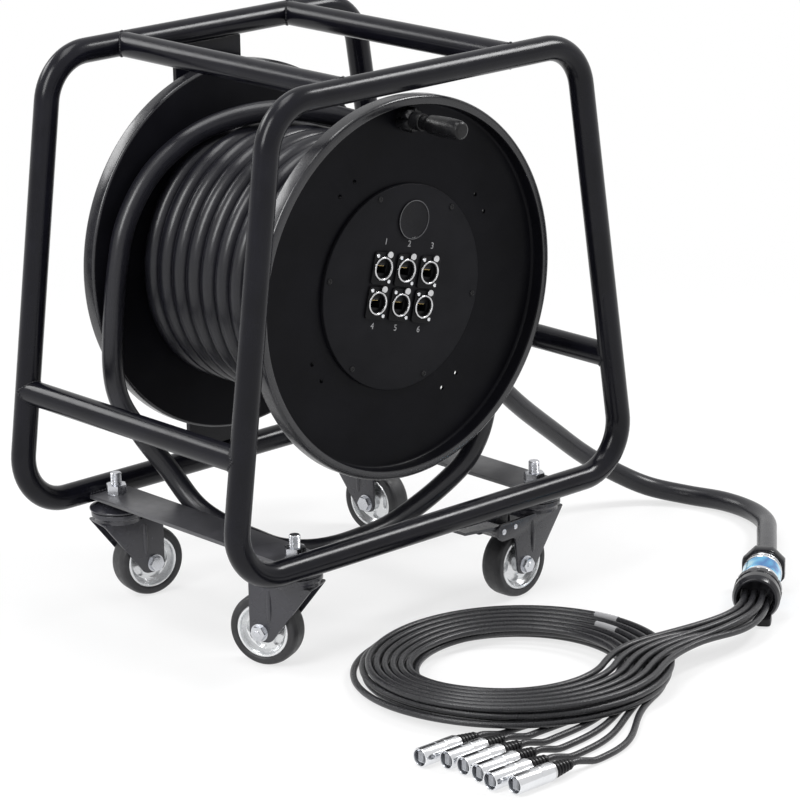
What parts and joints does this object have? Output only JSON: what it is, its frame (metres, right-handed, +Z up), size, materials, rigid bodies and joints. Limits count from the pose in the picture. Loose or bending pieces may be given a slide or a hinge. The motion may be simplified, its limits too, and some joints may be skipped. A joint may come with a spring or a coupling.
{
  "type": "cable reel",
  "caption": "Wheeled cable reel: a crank-turned drum in a tubular frame on swivel casters, a socket panel on its face, and a free cable end that splits into plugged tails.",
  "frame": {"origin": "on the floor, under the middle of the box round the frame, drum, crank and casters, with the free cable left out", "axes": "+X to the right of someone who faces the connector panel, +Y from the panel side to the upright plate side along the drum's axle, +Z up"},
  "size_m": [0.7449, 0.7006, 0.5748],
  "materials": {
    "frame_paint": "satin black powder coat",
    "drum_paint": "satin black powder coat",
    "zinc": "bright zinc plate",
    "bush": "plain",
    "cable_jacket": "satin black",
    "panel": "fine texture",
    "badge": "bare gloss disc",
    "socket_shell": "black with a bright ring",
    "latch": "nickel",
    "handle_steel": "zinc",
    "knob": "moulded",
    "grip": "moulded",
    "wheel": "black tyre on a grey hub",
    "caster_steel": "black",
    "braid": "black braided sleeve",
    "coupling_black": "black",
    "coupling_blue": "bright with a light blue band",
    "coupling_grey": "dark grey",
    "plug_chrome": "bright shell"
  },
  "bodies": {
    "frame": {"frame_loop_near": "frame_paint", "frame_loop_far": "frame_paint", "top_bar_left": "frame_paint", "top_bar_right": "frame_paint", "side_bar_left": "frame_paint", "side_bar_right": "frame_paint", "upright_plate": "frame_paint", "caster_bar_left": "frame_paint", "caster_bar_right": "frame_paint", "axle_spindle": "zinc", "axle_collar": "zinc", "free_cable": "cable_jacket", "coupling_rear_nut": "coupling_black", "coupling_sleeve": "coupling_blue", "coupling_front_nut": "coupling_grey", "data_cable_1": "braid", "data_cable_2": "braid", "data_cable_3": "braid", "data_cable_4": "braid", "data_cable_5": "braid", "data_cable_6": "braid", "data_plug_1": "plug_chrome", "data_plug_2": "plug_chrome", "data_plug_3": "plug_chrome", "data_plug_4": "plug_chrome", "data_plug_5": "plug_chrome", "data_plug_6": "plug_chrome"},
    "drum": {"drum_core": "drum_paint", "drum_bush_near": "bush", "drum_bush_far": "bush", "flange_near": "drum_paint", "flange_far": "drum_paint", "cable_under_layers": "cable_jacket", "cable_winding": "cable_jacket", "connector_panel": "panel", "panel_badge": "badge", "handle_pin": "handle_steel", "socket_1": "socket_shell", "socket_2": "socket_shell", "socket_3": "socket_shell", "socket_4": "socket_shell", "socket_5": "socket_shell", "socket_6": "socket_shell"},
    "knob": {"star_knob": "knob"},
    "grip": {"crank_grip": "grip"},
    "tab_1": {"latch_tab_1": "latch"},
    "tab_2": {"latch_tab_2": "latch"},
    "tab_3": {"latch_tab_3": "latch"},
    "tab_4": {"latch_tab_4": "latch"},
    "tab_5": {"latch_tab_5": "latch"},
    "tab_6": {"latch_tab_6": "latch"},
    "caster_left_far": {"caster_fork_left_far": "caster_steel"},
    "wheel_left_far": {"caster_wheel_left_far": "wheel"},
    "caster_left_near": {"caster_fork_left_near": "caster_steel"},
    "wheel_left_near": {"caster_wheel_left_near": "wheel"},
    "caster_right_near": {"caster_fork_right_near": "caster_steel"},
    "wheel_right_near": {"caster_wheel_right_near": "wheel"},
    "caster_right_far": {"caster_fork_right_far": "caster_steel"},
    "wheel_right_far": {"caster_wheel_right_far": "wheel"},
    "pedal": {"brake_pedal": "caster_steel"}
  },
  "joints": [
    {"name": "drum_spin", "type": "hinge", "parent": "frame", "child": "drum", "pos_m": [0, 0.0119, 0.3443], "axis": [0, 1, 0], "continuous": true, "deforming": ["free_cable"]},
    {"name": "grip_spin", "type": "hinge", "parent": "drum", "child": "grip", "pos_m": [0.0087, -0.163, 0.51029], "axis": [0, 1, 0], "continuous": true},
    {"name": "knob_turn", "type": "hinge", "parent": "drum", "child": "knob", "pos_m": [0.0087, -0.1225, 0.51029], "axis": [0, 1, 0], "continuous": true},
    {"name": "tab_1_press", "type": "slide", "parent": "drum", "child": "tab_1", "axis": [0, 1, 0], "range_m": [0, 0.001], "stiffness_N_per_m": 400},
    {"name": "tab_2_press", "type": "slide", "parent": "drum", "child": "tab_2", "axis": [0, 1, 0], "range_m": [0, 0.001], "stiffness_N_per_m": 400},
    {"name": "tab_3_press", "type": "slide", "parent": "drum", "child": "tab_3", "axis": [0, 1, 0], "range_m": [0, 0.001], "stiffness_N_per_m": 400},
    {"name": "tab_4_press", "type": "slide", "parent": "drum", "child": "tab_4", "axis": [0, 1, 0], "range_m": [0, 0.001], "stiffness_N_per_m": 400},
    {"name": "tab_5_press", "type": "slide", "parent": "drum", "child": "tab_5", "axis": [0, 1, 0], "range_m": [0, 0.001], "stiffness_N_per_m": 400},
    {"name": "tab_6_press", "type": "slide", "parent": "drum", "child": "tab_6", "axis": [0, 1, 0], "range_m": [0, 0.001], "stiffness_N_per_m": 400},
    {"name": "swivel_left_far", "type": "hinge", "parent": "frame", "child": "caster_left_far", "pos_m": [-0.16, 0.1499, 0.09], "axis": [0, 0, 1], "continuous": true},
    {"name": "roll_left_far", "type": "hinge", "parent": "caster_left_far", "child": "wheel_left_far", "pos_m": [-0.12849, 0.14434, 0.036], "axis": [0.1736, 0.9848, 0], "continuous": true},
    {"name": "swivel_left_near", "type": "hinge", "parent": "frame", "child": "caster_left_near", "pos_m": [-0.16, -0.1261, 0.09], "axis": [0, 0, 1], "continuous": true},
    {"name": "roll_left_near", "type": "hinge", "parent": "caster_left_near", "child": "wheel_left_near", "pos_m": [-0.1725, -0.09664, 0.036], "axis": [-0.9205, -0.3907, 0], "continuous": true},
    {"name": "swivel_right_near", "type": "hinge", "parent": "frame", "child": "caster_right_near", "pos_m": [0.16, -0.1261, 0.09], "axis": [0, 0, 1], "continuous": true},
    {"name": "roll_right_near", "type": "hinge", "parent": "caster_right_near", "child": "wheel_right_near", "pos_m": [0.12804, -0.12777, 0.036], "axis": [0.0523, -0.9986, 0], "continuous": true},
    {"name": "swivel_right_far", "type": "hinge", "parent": "frame", "child": "caster_right_far", "pos_m": [0.16, 0.1499, 0.09], "axis": [0, 0, 1], "continuous": true},
    {"name": "roll_right_far", "type": "hinge", "parent": "caster_right_far", "child": "wheel_right_far", "pos_m": [0.16334, 0.11808, 0.036], "axis": [0.9945, 0.1045, 0], "continuous": true},
    {"name": "brake_press", "type": "hinge", "parent": "caster_right_near", "child": "pedal", "pos_m": [0.09609, -0.12945, 0.0785], "axis": [0.0523, -0.9986, 0], "range_deg": [0, 15]}
  ]
}
